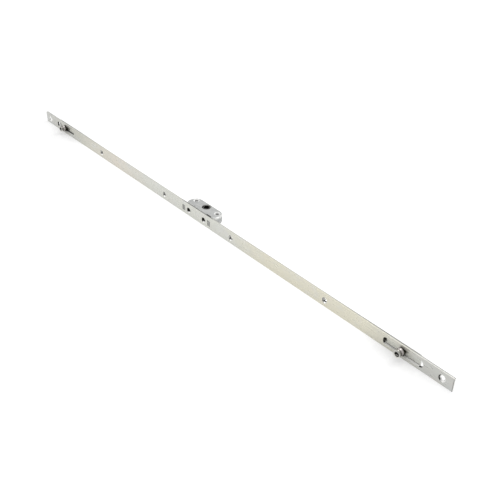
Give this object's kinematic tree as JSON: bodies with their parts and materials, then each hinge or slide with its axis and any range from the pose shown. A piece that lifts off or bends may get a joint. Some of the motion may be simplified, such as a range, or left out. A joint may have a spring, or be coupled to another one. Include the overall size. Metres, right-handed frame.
{
  "type": "cremone bolt",
  "caption": "Window cremone bolt: slotted faceplate, geared spindle case and sliding drive rod with an eccentric mushroom-head roller near each end.",
  "frame": {"origin": "on the spindle axis, half-way through the case's thickness", "axes": "+Z along the spindle, towards the handle; +X along the faceplate; the faceplate's front looks towards -Y and the case lies towards +Y"},
  "size_m": [0.79, 0.0324, 0.016],
  "materials": {
    "zinc_faceplate": "zinc plated and pale passivated, satin with faint yellow and green patches",
    "zinc_rod": "zinc plated and pale passivated, satin",
    "rack_steel": "bright machined",
    "hub_dark": "sintered, phosphated near black",
    "case_zinc": "die-cast zinc alloy, fine matt skin",
    "zinc_eyelet": "bright zinc plated",
    "zinc_bush": "zinc plated, turned",
    "roller_steel": "zinc plated, turned and bright",
    "sleeve_steel": "turned steel, lightly oiled",
    "zinc_washer": "zinc plated"
  },
  "bodies": {
    "faceplate_set": {"faceplate": "zinc_faceplate", "case_upper": "case_zinc", "case_lower": "case_zinc", "eyelet_left": "zinc_eyelet", "eyelet_right": "zinc_eyelet", "rod_bush_inner_left": "zinc_bush", "rod_bush_inner_right": "zinc_bush", "rod_bush_outer_left": "zinc_bush", "rod_bush_outer_right": "zinc_bush"},
    "rod_set": {"drive_rod": "zinc_rod", "rack": "rack_steel", "post_washer_left": "zinc_washer", "post_washer_right": "zinc_washer"},
    "hub_set": {"hub_sector": "hub_dark"},
    "post_left_set": {"roller_post_left": "roller_steel", "roller_cap_left": "roller_steel"},
    "sleeve_left_set": {"roller_sleeve_left": "sleeve_steel"},
    "post_right_set": {"roller_post_right": "roller_steel", "roller_cap_right": "roller_steel"},
    "sleeve_right_set": {"roller_sleeve_right": "sleeve_steel"}
  },
  "joints": [
    {"name": "rod_slide", "type": "slide", "parent": "faceplate_set", "child": "rod_set", "axis": [1, 0, 0], "range_m": [-0.0066, 0.0094]},
    {"name": "hub_turn", "type": "hinge", "parent": "faceplate_set", "child": "hub_set", "pos_m": [0, 0, 0], "axis": [0, 0, 1], "range_deg": [-37.13, 52.87]},
    {"name": "post_left_turn", "type": "hinge", "parent": "rod_set", "child": "post_left_set", "pos_m": [-0.336, -0.018, 0], "axis": [0, -1, 0], "range_deg": [-90, 90]},
    {"name": "sleeve_left_spin", "type": "hinge", "parent": "post_left_set", "child": "sleeve_left_set", "pos_m": [-0.336, -0.02045, 0.001], "axis": [0, -1, 0], "continuous": true},
    {"name": "post_right_turn", "type": "hinge", "parent": "rod_set", "child": "post_right_set", "pos_m": [0.3332, -0.018, 0], "axis": [0, -1, 0], "range_deg": [-90, 90]},
    {"name": "sleeve_right_spin", "type": "hinge", "parent": "post_right_set", "child": "sleeve_right_set", "pos_m": [0.3332, -0.02045, 0.001], "axis": [0, -1, 0], "continuous": true}
  ],
  "couplings": [
    {"joint": "hub_turn", "follows": "rod_slide", "rad_per_m": 98.06}
  ]
}
